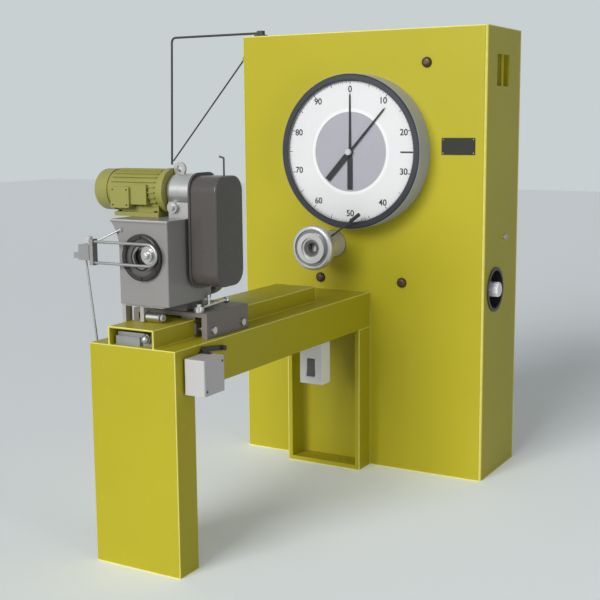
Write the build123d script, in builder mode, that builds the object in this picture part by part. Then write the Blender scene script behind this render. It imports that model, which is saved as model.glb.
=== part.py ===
from build123d import *
import math
import os

# Torsion testing machine, in millimetres.
# The origin is on the floor, straight under the torsion axis, in the middle of the cabinet's depth.
# +Z is up, the torsion axis runs along Y and the dial faces -Y.

# Cabinet: a folded sheet housing for the pendulum and the dial
cabinet_crown = 143.0
cabinet_left = 370.0
cabinet_right = 555.0
cabinet_depth = 320.0
cabinet_sheet = 4.0
cabinet_fold = 16.0
floor_plate = 8.0
bolt_head_radius = 17.0
bolt_head_rise = 13.0
bolt_low_rise = 40.0
bolt_high_drop = 111.0
bolt_low_left = -52.0
bolt_low_right = 262.0
bolt_high_right = 347.0
plate_width = 116.0
plate_height = 55.0
plate_shift = 1.5
plate_lift = 18.0
plate_thickness = 2.0

# Controls on the cabinet's right side, placed from its front face
port_back = 105.0
port_z = 640.0
port_radius = 68.0
port_rim = 7.0
port_cup = 34.0
knob_radius = 25.0
knob_length = 46.0
grip_back = 148.0
grip_drop = 138.0
grip_width = 122.0
grip_height = 108.0
grip_recess = 26.0
grip_bar = 12.0
lock_back = 183.0
lock_z = 809.0
lock_radius = 9.0
lock_rise = 12.0

# Dial, pointers and their gear
dial_x = 104.0
dial_clear = 17.0
dial_radius = 258.0
dial_depth = 90.0
dial_wall = 6.0
dial_lip = 23.0
face_recess = 14.0
face_sheet = 2.0
scale_step = 1.0
inner_disc = 136.0
glass_thickness = 3.0
glass_rise = 10.0
pointer_sheet = 1.5
pointer_tip = 196.0
pointer_tail = 126.0
pointer_eye = 11.0
load_blade = 4.5
maximum_blade = 4.0
balance_half = 9.5
pointer_rest = 42.0
arbor_radius = 5.0
reset_radius = 11.0
reset_stem = 4.0
gear_ratio = 8
pinion_teeth = 25
gear_width = 12.0
gear_back = 60.0

# Torque measuring shaft, its chuck and the pendulum
shaft_radius = 22.0
hub_radius = 46.0
chuck_reach = 160.0
chuck_round = 9.0
chuck_radius = 76.0
chuck_width = 30.0
chuck_nose = 7.0
nose_radius = 51.0
nose_wall = 15.0
chuck_groove = 5.0
grip_flats = 44.0
grip_wall = 4.0
grip_bore = 15.0
grip_depth = 46.0
lever_angle = 36.5
lever_length = 196.0
lever_radius = 3.0
lever_tip = 42.0
lever_grip = 6.5
lever_set = 17.0
pendulum_length = 430.0
pendulum_swing = 45.0
weight_radius = 85.0
weight_width = 56.0
arm_width = 30.0
arm_thickness = 12.0
arm_hub = 40.0
arm_below = 26.0
bearing_width = 28.0
beam_height = 90.0
beam_flange = 36.0

# Bed, leg, rail and pedestal
bed_top = 617.0
bed_width = 284.0
bed_nose = 173.0
bed_depth = 120.0
bed_wall = 6.0
bed_fold = 4.5
leg_depth = 85.0
rail_height = 50.0
rail_width = 150.0
rail_wall = 5.0
rail_length = 866.0
pedestal_depth = 83.0
pedestal_wall = 17.0
pedestal_back = 5.0
anchor_spacing = 100.0
anchor_radius = 7.0
tie_x = 41.0
tie_radius = 8.0
tie_rise = 22.0
nut_radius = 15.0
nut_width = 9.0
nut_inset = 11.0
guide_gap = 9.0
guide_length = 64.0
guide_height = 24.0

# Driving head on its saddle
slide_gap = 0.3
saddle_reach = 757.0
saddle_length = 206.0
saddle_width = 250.0
saddle_plate = 12.0
saddle_cheek = 18.0
saddle_land = 8.7
foot_height = 30.0
foot_inset = 16.0
gearbox_width = 160.0
gearbox_depth = 200.0
gearbox_height = 228.0
gearbox_overhang = 109.0
spindle_rise = 60.0
input_rise = 112.0
counter_rise = 139.0
motor_rise = 70.0
drive_inset = 55.0
flange_radius = 63.0
flange_width = 14.0
driving_chuck_length = 104.0
driving_chuck_radius = 70.0
roller_radius = 14.0
roller_width = 44.0
clamp_inset = 37.0
clamp_length = 138.0
clamp_finger = 47.0
clamp_hub = 15.0
clamp_bar = 5.0
cheek_screw = 22.0
screw_radius = 6.0
head_radius = 10.0
screw_head = 8.0
lock_nut = 14.0
strip_thickness = 6.0
strip_low = 8.0
strip_high = 40.0
strip_inset = 10.0

# Motor and belt drive
motor_radius = 55.0
motor_left = 190.0
cowl_length = 52.0
cowl_round = 18.0
cowl_sheet = 4.0
slot_pitch = 7.5
slot_width = 3.0
slot_first = 12.0
motor_foot = 12.0
foot_half = 50.0
rotor_radius = 9.0
rib_count = 21
rib_rise = 4.0
rib_sheet = 2.4
rib_inset = 12.0
flange_sheet = 16.0
grille_slots = 4
adapter_radius = 48.0
adapter_round = 16.0
boss_x = 26.0
boss_drop = 42.0
boss_radius = 16.0
eye_radius = 19.0
eye_hole = 9.0
guard_side = 100.0
guard_width = 82.0
guard_depth = 130.0
guard_corner = 43.0
guard_sheet = 3.0
guard_margin = 8.0
guard_under = 67.0
guard_over = 44.0
guard_edge = 6.0
plate_sheet = 6.0
hook_rise = 46.0
hook_turn = 14.0
hook_rod = 2.6
motor_pulley = 26.0
input_pulley_radius = 48.0
belt_thickness = 7.0
belt_width = 11.0

# Revolution counter at the front of the gearbox
counter_x = 34.0
counter_left = 150.0
yoke_radius = 28.5
yoke_rod = 4.0
yoke_reach = 26.0
strut_rise = 62.0
torque_rod = 3.0
strut_rod = 2.5
block_half = 22.0

# Switch boxes and the overhead arm
box_width = 64.0
box_length = 95.0
box_height = 96.0
box_reach = 31.0
bracket_strip = 6.0
bracket_width = 14.0
bracket_back = 91.0
bracket_span = 93.0
bracket_rise = 8.0
bracket_fall = 12.0
low_box_width = 88.0
low_box_depth = 56.0
low_box_height = 140.0
low_box_reach = 238.0
low_box_left = -5.0
low_box_drop = 26.0
low_box_neck = 11.0
box_round = 5.0
rocker_width = 28.0
rocker_height = 56.0
rocker_lift = 55.0
rocker_well = 14.0
arm_overhang = 324.0
arm_lift = 12.0
arm_rod = 4.0
arm_drop = 469.0
arm_lean = 14.0
arm_bend = 18.0
arm_setback = 25.0
arm_foot = 40.0
arm_inset = 46.0
stay_rod = 2.8
stay_drop = 75.0

# Places that follow from the sizes above
front = -cabinet_depth / 2
back = cabinet_depth / 2
bed_end = front - saddle_reach - saddle_length - bed_nose
rail_top = bed_top + rail_height
plate_base = rail_top + slide_gap + saddle_land
saddle_top = plate_base + saddle_plate
gearbox_base = saddle_top + foot_height
gearbox_top = gearbox_base + gearbox_height
axis_z = gearbox_base + spindle_rise
input_z = gearbox_base + input_rise
counter_z = gearbox_base + counter_rise
motor_z = gearbox_top + motor_rise
dial_z = axis_z + hub_radius + dial_clear + dial_radius
cabinet_height = dial_z + dial_radius + cabinet_crown
bolt_low = bed_top + bolt_low_rise
bolt_high = cabinet_height - bolt_high_drop
grip_z = cabinet_height - grip_drop
plate_x = (dial_x + dial_radius + cabinet_right) / 2 + plate_shift
plate_z = dial_z + plate_lift
saddle_back = front - saddle_reach
saddle_front = saddle_back - saddle_length
gearbox_front = saddle_front - gearbox_overhang
gearbox_back = gearbox_front + gearbox_depth
drive_y = gearbox_back - drive_inset
half_box = gearbox_width / 2
half_bed = bed_width / 2
half_rail = rail_width / 2
chuck_front = front - chuck_reach
chuck_back = chuck_front + chuck_width
lever_y = chuck_back + lever_set
gear_front = front + gear_back
pitch_distance = math.hypot(dial_x, dial_z - axis_z)
pinion_pitch = pitch_distance / (gear_ratio + 1)
sector_pitch = pinion_pitch * gear_ratio
module = 2 * pinion_pitch / pinion_teeth
gear_angle = math.degrees(math.atan2(dial_z - axis_z, dial_x))
running = 0.05


def facing_front(y, x=0.0, z=0.0):
    """A plane whose normal points to the front, with local x along X and local y along Z."""
    return Plane(origin=(x, y, z), x_dir=(1, 0, 0), z_dir=(0, -1, 0))


def facing_right(x, y=0.0, z=0.0):
    """A plane whose normal points to the right, with local x along Y and local y along Z."""
    return Plane(origin=(x, y, z), x_dir=(0, 1, 0), z_dir=(1, 0, 0))


def disc(plane, radius, length, mode=Mode.ADD):
    """A round bar or hole that starts on a plane and runs along its normal."""
    with BuildSketch(plane) as outline:
        Circle(radius)
    extrude(outline.sketch, amount=length, mode=mode)


def ring(plane, outer, inner, length, mode=Mode.ADD):
    """A tube that starts on a plane and runs along its normal."""
    with BuildSketch(plane) as outline:
        Circle(outer)
        Circle(inner, mode=Mode.SUBTRACT)
    extrude(outline.sketch, amount=length, mode=mode)


def slab(x_range, y_range, z_range, mode=Mode.ADD):
    """A rectangular block between three pairs of limits."""
    centre = [(low + high) / 2 for low, high in (x_range, y_range, z_range)]
    size = [high - low for low, high in (x_range, y_range, z_range)]
    with Locations(tuple(centre)):
        Box(*size, mode=mode)


def rod(start, end, radius):
    """A straight round rod between two points."""
    line = Edge.make_line(start, end)
    with BuildSketch(Plane(origin=start, z_dir=line % 0)) as outline:
        Circle(radius)
    extrude(outline.sketch, amount=line.length)


def elbow(plane, centre, arc, radius):
    """A bent round rod that starts on a plane and turns about an axis along Y through its centre."""
    with BuildSketch(plane) as outline:
        Circle(radius)
    revolve(outline.sketch, axis=Axis(centre, (0, 1, 0)), revolution_arc=arc)


def tooth_outline(pitch_radius, size, slack):
    """Corner points of one gear tooth that points along local x, with involute-like flanks."""
    base = pitch_radius * math.cos(math.radians(20))
    half_at_pitch = (math.pi * size / 2 - slack) / 2 / pitch_radius
    involute = math.tan(math.radians(20)) - math.radians(20)
    flank = []
    for radius in (pitch_radius - 1.2 * size, pitch_radius - 0.3 * size, pitch_radius + 0.9 * size):
        pressure = math.acos(min(1.0, base / radius))
        half = half_at_pitch + involute - (math.tan(pressure) - pressure)
        flank.append((radius * math.cos(half), radius * math.sin(half)))
    low = [(x, -y) for x, y in flank]
    return low + flank[::-1]


def gear_teeth(pitch_radius, size, angles, slack):
    """Sketch faces of gear teeth at the given angles, inside a sketch context."""
    for angle in angles:
        with Locations(Rotation(0, 0, angle)):
            Polygon(*tooth_outline(pitch_radius, size, slack), align=None)


# Cabinet shell, folded from one sheet and open at the back and underneath
with BuildPart() as cabinet_shell:
    with BuildSketch(Plane.XY):
        with Locations(((cabinet_right - cabinet_left) / 2, 0)):
            Rectangle(cabinet_left + cabinet_right, cabinet_depth)
    extrude(amount=cabinet_height)
    fillet(cabinet_shell.edges().filter_by(Axis.Z).group_by(Axis.Y)[0], radius=cabinet_fold)
    open_faces = cabinet_shell.faces().sort_by(Axis.Z)[:1] + cabinet_shell.faces().sort_by(Axis.Y)[-1:]
    offset(amount=-cabinet_sheet, openings=open_faces)
    disc(facing_front(front + 2 * cabinet_sheet, 0, axis_z), hub_radius + 2, 4 * cabinet_sheet,
         Mode.SUBTRACT)
    disc(facing_front(front + 2 * cabinet_sheet, dial_x, dial_z), arbor_radius + 8, 4 * cabinet_sheet,
         Mode.SUBTRACT)
    disc(facing_right(cabinet_right - 2 * cabinet_sheet, front + port_back, port_z), port_radius,
         4 * cabinet_sheet, Mode.SUBTRACT)
    disc(facing_right(cabinet_right - 2 * cabinet_sheet, front + lock_back, lock_z), lock_radius - 3,
         4 * cabinet_sheet, Mode.SUBTRACT)
    slab((cabinet_right - 2 * cabinet_sheet, cabinet_right + cabinet_sheet),
         (front + grip_back - grip_width / 2, front + grip_back + grip_width / 2),
         (grip_z - grip_height / 2, grip_z + grip_height / 2), Mode.SUBTRACT)
cabinet_shell.part.label = "cabinet_shell"

inner_left = -cabinet_left + cabinet_sheet
inner_right = cabinet_right - cabinet_sheet

# Floor plate inside the cabinet's walls, with its front corners rounded like the folds
with BuildPart() as cabinet_floor:
    slab((inner_left, inner_right), (front + cabinet_sheet, back), (0, floor_plate))
    fillet(cabinet_floor.edges().filter_by(Axis.Z).group_by(Axis.Y)[0], radius=cabinet_fold - cabinet_sheet)
cabinet_floor.part.label = "cabinet_floor"

# Rear cover: a dished panel that closes the cabinet
with BuildPart() as rear_cover:
    slab((inner_left, inner_right), (back - cabinet_sheet, back),
         (floor_plate, cabinet_height - cabinet_sheet))
    slab((inner_left + 40, inner_right - 40), (back - 12, back - cabinet_sheet),
         (floor_plate + 40, cabinet_height - cabinet_sheet - 40))
    slab((inner_left + 44, inner_right - 44), (back - 8, back + 1),
         (floor_plate + 44, cabinet_height - cabinet_sheet - 44), Mode.SUBTRACT)
rear_cover.part.label = "rear_cover"

# Cross beam that carries the shaft's rear bearing between the cabinet's sides
beam_front = back - 70.0
beam_wall = 6.0
with BuildPart() as bearing_beam:
    slab((inner_left, inner_right), (beam_front, beam_front + beam_flange),
         (axis_z - beam_height / 2, axis_z + beam_height / 2))
    slab((inner_left - 1, inner_right + 1), (beam_front + beam_wall, beam_front + beam_flange + 1),
         (axis_z - beam_height / 2 + beam_wall, axis_z + beam_height / 2 - beam_wall), Mode.SUBTRACT)
    disc(facing_front(beam_front + beam_wall + 1, 0, axis_z), shaft_radius + 3, beam_wall + 2, Mode.SUBTRACT)
bearing_beam.part.label = "bearing_beam"

# Two flanged bearings for the measuring shaft
front_bearing = front + cabinet_sheet
with BuildPart() as shaft_bearings:
    for plane in (facing_front(front_bearing + bearing_width, 0, axis_z),
                  facing_front(beam_front, 0, axis_z)):
        ring(plane, hub_radius - 6, shaft_radius + running, bearing_width)
    ring(facing_front(front_bearing + 10, 0, axis_z), hub_radius + 20, shaft_radius + running, 10)
    ring(facing_front(beam_front, 0, axis_z), hub_radius - 1, shaft_radius + running, 10)
shaft_bearings.part.label = "shaft_bearings"

# Bracket behind the cabinet's front that carries the pointers' arbor
bridge_depth = gear_back + 20.0
bridge_half = pinion_pitch + 22.0
with BuildPart() as pointer_bridge:
    slab((dial_x - bridge_half, dial_x + bridge_half), (front + cabinet_sheet, front + bridge_depth),
         (dial_z - 14, dial_z + 14))
    slab((dial_x - bridge_half + 6, dial_x + bridge_half - 6),
         (front + cabinet_sheet + 6, front + bridge_depth - 6), (dial_z - 15, dial_z + 15), Mode.SUBTRACT)
    disc(facing_front(front + bridge_depth + 1, dial_x, dial_z), arbor_radius + running, bridge_depth + 2,
         Mode.SUBTRACT)
pointer_bridge.part.label = "pointer_bridge"

# Three round-headed bolts in the cabinet's front
with BuildPart() as front_bolts:
    for x, z in ((bolt_low_left, bolt_low), (bolt_low_right, bolt_low), (bolt_high_right, bolt_high)):
        disc(facing_front(front, x, z), bolt_head_radius, bolt_head_rise)
    fillet(front_bolts.edges().group_by(Axis.Y)[0], radius=bolt_head_rise - 3)
front_bolts.part.label = "front_bolts"

# Bare plate with rounded corners
with BuildPart() as nameplate:
    with BuildSketch(facing_front(front, plate_x, plate_z)):
        RectangleRounded(plate_width, plate_height, 4)
    extrude(amount=plate_thickness)
nameplate.part.label = "nameplate"

# Round cup in the side wall, with a thin rim outside
port_y = front + port_back
with BuildPart() as side_port:
    ring(facing_right(cabinet_right, port_y, port_z), port_radius + port_rim, port_radius - 4, 4)
    ring(facing_right(cabinet_right - port_cup, port_y, port_z), port_radius - 0.5, port_radius - 4,
         port_cup)
    ring(facing_right(cabinet_right - port_cup - 4, port_y, port_z), port_radius - 0.5, 9 + running, 4)
side_port.part.label = "side_port"

# Range knob in the cup, on its own spindle
with BuildPart() as range_knob:
    disc(facing_right(cabinet_right - port_cup - 20, port_y, port_z), 9, 26)
    disc(facing_right(cabinet_right - port_cup + 6, port_y, port_z), knob_radius, knob_length)
    fillet(range_knob.edges().group_by(Axis.X)[-1], radius=6)
    for angle in range(0, 360, 45):
        turned = math.radians(angle)
        groove_y = port_y + (knob_radius + 2) * math.cos(turned)
        groove_z = port_z + (knob_radius + 2) * math.sin(turned)
        disc(facing_right(cabinet_right - port_cup + 12, groove_y, groove_z), 5, knob_length, Mode.SUBTRACT)
range_knob.part.label = "range_knob"

# Recessed grip in the side wall: a square cup with an upright bar across its mouth
grip_y = front + grip_back
with BuildPart() as side_grip:
    slab((cabinet_right - grip_recess, cabinet_right), (grip_y - grip_width / 2, grip_y + grip_width / 2),
         (grip_z - grip_height / 2, grip_z + grip_height / 2))
    slab((cabinet_right - grip_recess + 3, cabinet_right + 1),
         (grip_y - grip_width / 2 + 3, grip_y + grip_width / 2 - 3),
         (grip_z - grip_height / 2 + 3, grip_z + grip_height / 2 - 3), Mode.SUBTRACT)
    rod((cabinet_right - grip_bar / 2, grip_y, grip_z - grip_height / 2 + 1),
        (cabinet_right - grip_bar / 2, grip_y, grip_z + grip_height / 2 - 1), grip_bar / 2)
side_grip.part.label = "side_grip"

# Quarter-turn lock with a flat grip across its head
lock_y = front + lock_back
with BuildPart() as panel_lock:
    disc(facing_right(cabinet_right - 16, lock_y, lock_z), lock_radius - 3 - running, 17)
    disc(facing_right(cabinet_right + running, lock_y, lock_z), lock_radius, lock_rise - 6)
    slab((cabinet_right + lock_rise - 7, cabinet_right + lock_rise), (lock_y - 2.5, lock_y + 2.5),
         (lock_z - lock_radius + 1, lock_z + lock_radius - 1))
panel_lock.part.label = "panel_lock"

# Dial drum: a turned housing with a lip that holds the glass
dial_front = front - dial_depth
with BuildPart() as dial_housing:
    with BuildSketch(Plane.XY):
        with BuildLine():
            Polyline(
                (dial_radius, 0),
                (dial_radius, dial_depth - 5),
                (dial_radius - 5, dial_depth),
                (dial_radius - dial_lip + 3, dial_depth),
                (dial_radius - dial_lip, dial_depth - 3),
                (dial_radius - dial_lip, dial_depth - face_recess + glass_rise),
                (dial_radius - dial_wall, dial_depth - face_recess + glass_rise),
                (dial_radius - dial_wall, 0),
                close=True,
            )
        make_face()
    revolve(axis=Axis.Y)
    dial_solid = dial_housing.part.rotate(Axis.X, 180).moved(Location((dial_x, front, dial_z)))
with BuildPart() as dial_housing:
    add(dial_solid)
dial_housing.part.label = "dial_housing"

# Dial face: a white disc that steps back in the middle, held on a short drum
face_y = dial_front + face_recess
face_radius = dial_radius - dial_wall - 0.2
with BuildPart() as dial_face:
    disc(facing_front(face_y + face_sheet, dial_x, dial_z), face_radius, face_sheet)
    ring(facing_front(front, dial_x, dial_z), inner_disc + 8, inner_disc,
         dial_depth - face_recess - face_sheet)
    disc(facing_front(face_y + scale_step, dial_x, dial_z), inner_disc - 4, 2 * face_sheet, Mode.SUBTRACT)
    disc(facing_front(face_y + 3, dial_x, dial_z), arbor_radius + 3, 6, Mode.SUBTRACT)
dial_face.part.label = "dial_face"

# Glass, held behind the lip
glass_back = face_y - glass_rise + glass_thickness
with BuildPart() as dial_glass:
    ring(facing_front(glass_back, dial_x, dial_z), face_radius, reset_stem + running, glass_thickness)
dial_glass.part.label = "dial_glass"


def pointer_blade(y, angle, half_thin, half_thick, eye):
    """A flat pointer with a thin blade, a round eye and a broad balance tail."""
    tip = pointer_tip
    tail = pointer_tail
    with BuildSketch(facing_front(y, dial_x, dial_z)) as outline:
        with Locations(Rotation(0, 0, -angle)):
            Polygon((-half_thin, 0), (-half_thin * 0.6, tip - pointer_eye), (0, tip),
                    (half_thin * 0.6, tip - pointer_eye), (half_thin, 0), align=None)
            Polygon((-half_thick, -tail), (-half_thick, -2 * pointer_eye), (-half_thin, 0), (half_thin, 0),
                    (half_thick, -2 * pointer_eye), (half_thick, -tail), align=None)
        Circle(pointer_eye)
        Circle(eye, mode=Mode.SUBTRACT)
    extrude(outline.sketch, amount=pointer_sheet)


# Load pointer and its arbor, which carries the pinion behind the cabinet's front
load_y = face_y - 1.0
with BuildPart() as load_pointer:
    pointer_blade(load_y, 0.0, load_blade, balance_half, arbor_radius)
load_pointer.part.label = "load_pointer"

arbor_back = front + bridge_depth + 6.0
arbor_front = load_y - pointer_sheet
with BuildPart() as pointer_arbor:
    disc(facing_front(arbor_back, dial_x, dial_z), arbor_radius, arbor_back - arbor_front)
    with BuildSketch(facing_front(gear_front, dial_x, dial_z)):
        Circle(pinion_pitch - 1.2 * module)
        pinion_step = 360 / pinion_teeth
        pinion_angles = [gear_angle + 180 + (tooth + 0.5) * pinion_step for tooth in range(pinion_teeth)]
        gear_teeth(pinion_pitch, module, pinion_angles, 0.9)
        Circle(arbor_radius - 1, mode=Mode.SUBTRACT)
    extrude(amount=gear_width)
pointer_arbor.part.label = "pointer_arbor"

# Maximum pointer in front of the load pointer, turned by a knob outside the glass
maximum_y = load_y - 2 * pointer_sheet
with BuildPart() as max_pointer:
    pointer_blade(maximum_y, pointer_rest, maximum_blade, balance_half, reset_stem)
max_pointer.part.label = "max_pointer"

with BuildPart() as reset_knob:
    disc(facing_front(maximum_y, dial_x, dial_z), reset_stem, maximum_y - glass_back + glass_thickness + 1)
    disc(facing_front(glass_back - glass_thickness - 1, dial_x, dial_z), reset_radius, 9)
    fillet(reset_knob.edges().group_by(Axis.Y)[0], radius=3)
reset_knob.part.label = "reset_knob"

# Measuring shaft with the sector's seat and the pendulum's seat turned on it
pendulum_y = 0.0
shaft_back = beam_front + 20.0
with BuildPart() as measuring_shaft:
    disc(facing_front(shaft_back, 0, axis_z), shaft_radius, shaft_back - front + cabinet_sheet)
    disc(facing_front(front - running, 0, axis_z), hub_radius, chuck_reach - chuck_width - running)
    fillet(measuring_shaft.edges().group_by(Axis.Y)[0], radius=2)
measuring_shaft.part.label = "measuring_shaft"


def chuck_ring(face, turn, radius):
    """A heavy ring with rounded rims, a groove and a raised nose; its face looks along -Y for turn 1."""
    disc(facing_front(face, 0, axis_z), radius, -turn * chuck_width)
    fillet(edges().filter_by(GeomType.CIRCLE), radius=chuck_round)
    groove = facing_front(face, 0, axis_z)
    ring(groove, radius - chuck_round - 3, nose_radius, -turn * chuck_groove, Mode.SUBTRACT)
    ring(groove, nose_radius, nose_radius - nose_wall, turn * chuck_nose)


# Measuring chuck
with BuildPart() as measuring_chuck:
    chuck_ring(chuck_front, 1, chuck_radius)
    with BuildSketch(facing_front(chuck_front, 0, axis_z)):
        RegularPolygon(grip_flats / 2 + grip_wall, 8, major_radius=False)
    extrude(amount=-chuck_width, mode=Mode.SUBTRACT)
measuring_chuck.part.label = "measuring_chuck"


def grip_block(plane, depth):
    """An eight-sided grip with a round hole for the specimen and a flared mouth."""
    with BuildSketch(plane) as outline:
        RegularPolygon(grip_flats / 2 + grip_wall - running, 8, major_radius=False)
        Circle(grip_bore, mode=Mode.SUBTRACT)
    extrude(outline.sketch, amount=-depth)


with BuildPart() as measuring_grip:
    grip_block(facing_front(chuck_front + 3, 0, axis_z), chuck_width - 3)
    chamfer(measuring_grip.edges().filter_by(GeomType.CIRCLE).group_by(Axis.Y)[0], length=4)
measuring_grip.part.label = "measuring_grip"

# Hand lever that turns the measuring shaft
lever_turn = math.radians(lever_angle)


def on_lever(radius):
    return (radius * math.cos(lever_turn), lever_y, axis_z + radius * math.sin(lever_turn))


with BuildPart() as hand_lever:
    rod(on_lever(hub_radius), on_lever(lever_length - lever_tip), lever_radius)
    rod(on_lever(lever_length - lever_tip), on_lever(lever_length), lever_grip)
    fillet(hand_lever.edges().filter_by(GeomType.CIRCLE).sort_by(Axis.X)[-2:], radius=2)
    rod(on_lever(hub_radius), on_lever(hub_radius + 8), lever_radius + 3)
hand_lever.part.label = "hand_lever"

# Toothed sector on the shaft, in mesh with the pinion
sector_lead = 8.0
sector_pitch_angle = 360 / (pinion_teeth * gear_ratio)
sector_teeth = math.ceil((pendulum_swing + 2 * sector_lead) / sector_pitch_angle)
sector_first = gear_angle - (sector_teeth - round(sector_lead / sector_pitch_angle)) * sector_pitch_angle
sector_angles = [sector_first + tooth * sector_pitch_angle for tooth in range(sector_teeth)]
sector_middle = (sector_angles[0] + sector_angles[-1]) / 2
sector_half = (sector_angles[-1] - sector_angles[0]) / 2 + sector_pitch_angle / 2
sector_root = sector_pitch - 1.15 * module
with BuildPart() as sector_gear:
    with BuildSketch(facing_front(gear_front, 0, axis_z)):
        with BuildLine():
            first = sector_middle - sector_half
            rim_arc = CenterArc((0, 0), sector_root, first, 2 * sector_half)
            hub_arc = CenterArc((0, 0), hub_radius - 8, first, 2 * sector_half)
            Line(rim_arc @ 0, hub_arc @ 0)
            Line(rim_arc @ 1, hub_arc @ 1)
        make_face()
        with BuildLine():
            cut_half = sector_half - 7
            outer_cut = CenterArc((0, 0), sector_root - 24, sector_middle - cut_half, 2 * cut_half)
            inner_cut = CenterArc((0, 0), 0.42 * sector_root, sector_middle - cut_half + 6,
                                  2 * cut_half - 12)
            Line(outer_cut @ 0, inner_cut @ 0)
            Line(outer_cut @ 1, inner_cut @ 1)
        make_face(mode=Mode.SUBTRACT)
        Circle(hub_radius)
        gear_teeth(sector_pitch, module, sector_angles, 0.9)
        Circle(shaft_radius, mode=Mode.SUBTRACT)
    extrude(amount=gear_width)
sector_gear.part.label = "sector_gear"

# Pendulum arm clamped on the shaft
weight_z = axis_z - pendulum_length
with BuildPart() as pendulum_arm:
    ring(facing_front(pendulum_y + arm_hub / 2, 0, axis_z), hub_radius, shaft_radius, arm_hub)
    with BuildSketch(Plane.XY.offset(axis_z - hub_radius + 3)):
        with Locations((0, pendulum_y)):
            RectangleRounded(arm_width, arm_thickness, 5)
    extrude(amount=-(pendulum_length - hub_radius + 3 + weight_radius + arm_below))
pendulum_arm.part.label = "pendulum_arm"

# Pendulum weight: a thick disc with bevelled rims, split by a slot for the arm
with BuildPart() as pendulum_weight:
    disc(facing_front(pendulum_y + weight_width / 2, 0, weight_z), weight_radius, weight_width)
    chamfer(pendulum_weight.edges().filter_by(GeomType.CIRCLE), length=5)
    with BuildSketch(Plane.XY.offset(weight_z - weight_radius - 1)):
        with Locations((0, pendulum_y)):
            RectangleRounded(arm_width, arm_thickness, 5)
    extrude(amount=2 * weight_radius + 2, mode=Mode.SUBTRACT)
pendulum_weight.part.label = "pendulum_weight"

# Bed and leg: one folded L-shaped casing, hollow and open underneath
with BuildPart() as bed_frame:
    with BuildSketch(facing_right(-half_bed)):
        with BuildLine():
            Polyline(
                (front, bed_top),
                (bed_end, bed_top),
                (bed_end, 0),
                (bed_end + leg_depth, 0),
                (bed_end + leg_depth, bed_top - bed_depth),
                (front, bed_top - bed_depth),
                close=True,
            )
        make_face()
    extrude(amount=bed_width)
    slab((-half_bed + bed_wall, half_bed - bed_wall), (bed_end + leg_depth - 1, front - bed_wall),
         (bed_top - bed_depth - 1, bed_top - bed_wall), Mode.SUBTRACT)
    slab((-half_bed + bed_wall, half_bed - bed_wall), (bed_end + bed_wall, bed_end + leg_depth - bed_wall),
         (bed_wall, bed_top - bed_wall), Mode.SUBTRACT)
    fillet(bed_frame.edges().filter_by(Axis.Z).group_by(Axis.Y)[0], radius=bed_fold)
    top_edges = bed_frame.edges().filter_by(Axis.Y).group_by(Axis.Z)[-1]
    fillet(top_edges, radius=bed_fold)
bed_frame.part.label = "bed_frame"

# Raised rail: an inverted channel with a square mouth at the front
rail_back = bed_end + rail_length
with BuildPart() as bed_rail:
    slab((-half_rail, half_rail), (bed_end, rail_back), (bed_top, rail_top))
    fillet(bed_rail.edges().filter_by(Axis.Y).group_by(Axis.Z)[-1], radius=rail_wall - 1)
    slab((-half_rail + rail_wall, half_rail - rail_wall), (bed_end - 1, rail_back - rail_wall),
         (bed_top - 1, rail_top - rail_wall), Mode.SUBTRACT)
bed_rail.part.label = "bed_rail"

# Pedestal: a channel frame with an open front, under the bed against the cabinet
pedestal_front = front - pedestal_depth
pedestal_top = bed_top - bed_depth
with BuildPart() as pedestal:
    slab((-half_bed, half_bed), (pedestal_front, front), (0, pedestal_top))
    slab((-half_bed + pedestal_wall, half_bed - pedestal_wall), (pedestal_front - 1, front - pedestal_back),
         (pedestal_wall, pedestal_top + 1), Mode.SUBTRACT)
    inner_corners = pedestal.edges().filter_by(Axis.Z).group_by(Axis.Y)[-2]
    fillet(inner_corners, radius=14)
    with Locations(Plane(origin=(0, pedestal_front + 40, 0))):
        with GridLocations(anchor_spacing, 1, 2, 1):
            Cylinder(anchor_radius, 4 * pedestal_wall, mode=Mode.SUBTRACT)
pedestal.part.label = "pedestal"

# Tie rod inside the rail: a long bar with a guide block and a domed nut at the open end
tie_z = bed_top + tie_rise
guide_left = -half_rail + rail_wall + guide_gap
nut_y = bed_end + nut_inset
with BuildPart() as rail_tie_rod:
    rod((tie_x, bed_end + nut_inset - 3, tie_z), (tie_x, rail_back - rail_wall, tie_z), tie_radius)
    with BuildSketch(facing_front(nut_y + nut_width, tie_x, tie_z)):
        RegularPolygon(nut_radius, 6)
    extrude(amount=nut_width)
    with BuildSketch(Plane(origin=(tie_x, nut_y, tie_z), x_dir=(1, 0, 0), z_dir=(0, 0, 1))) as dome:
        with BuildLine():
            arc = JernArc((0.8 * nut_radius, 0), (0, -1), 0.8 * nut_radius, -90)
            Polyline(arc @ 1, (0, 0), (0.8 * nut_radius, 0))
        make_face()
    revolve(dome.sketch, axis=Axis((tie_x, nut_y, tie_z), (0, 1, 0)))
    slab((guide_left, tie_x - tie_rise), (bed_end + 14, bed_end + guide_length),
         (bed_top, bed_top + guide_height))
    slab((guide_left, tie_x + tie_rise - 4), (bed_end + 24, bed_end + 24 + guide_height),
         (bed_top, tie_z + nut_radius - 3))
rail_tie_rod.part.label = "rail_tie_rod"

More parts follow.
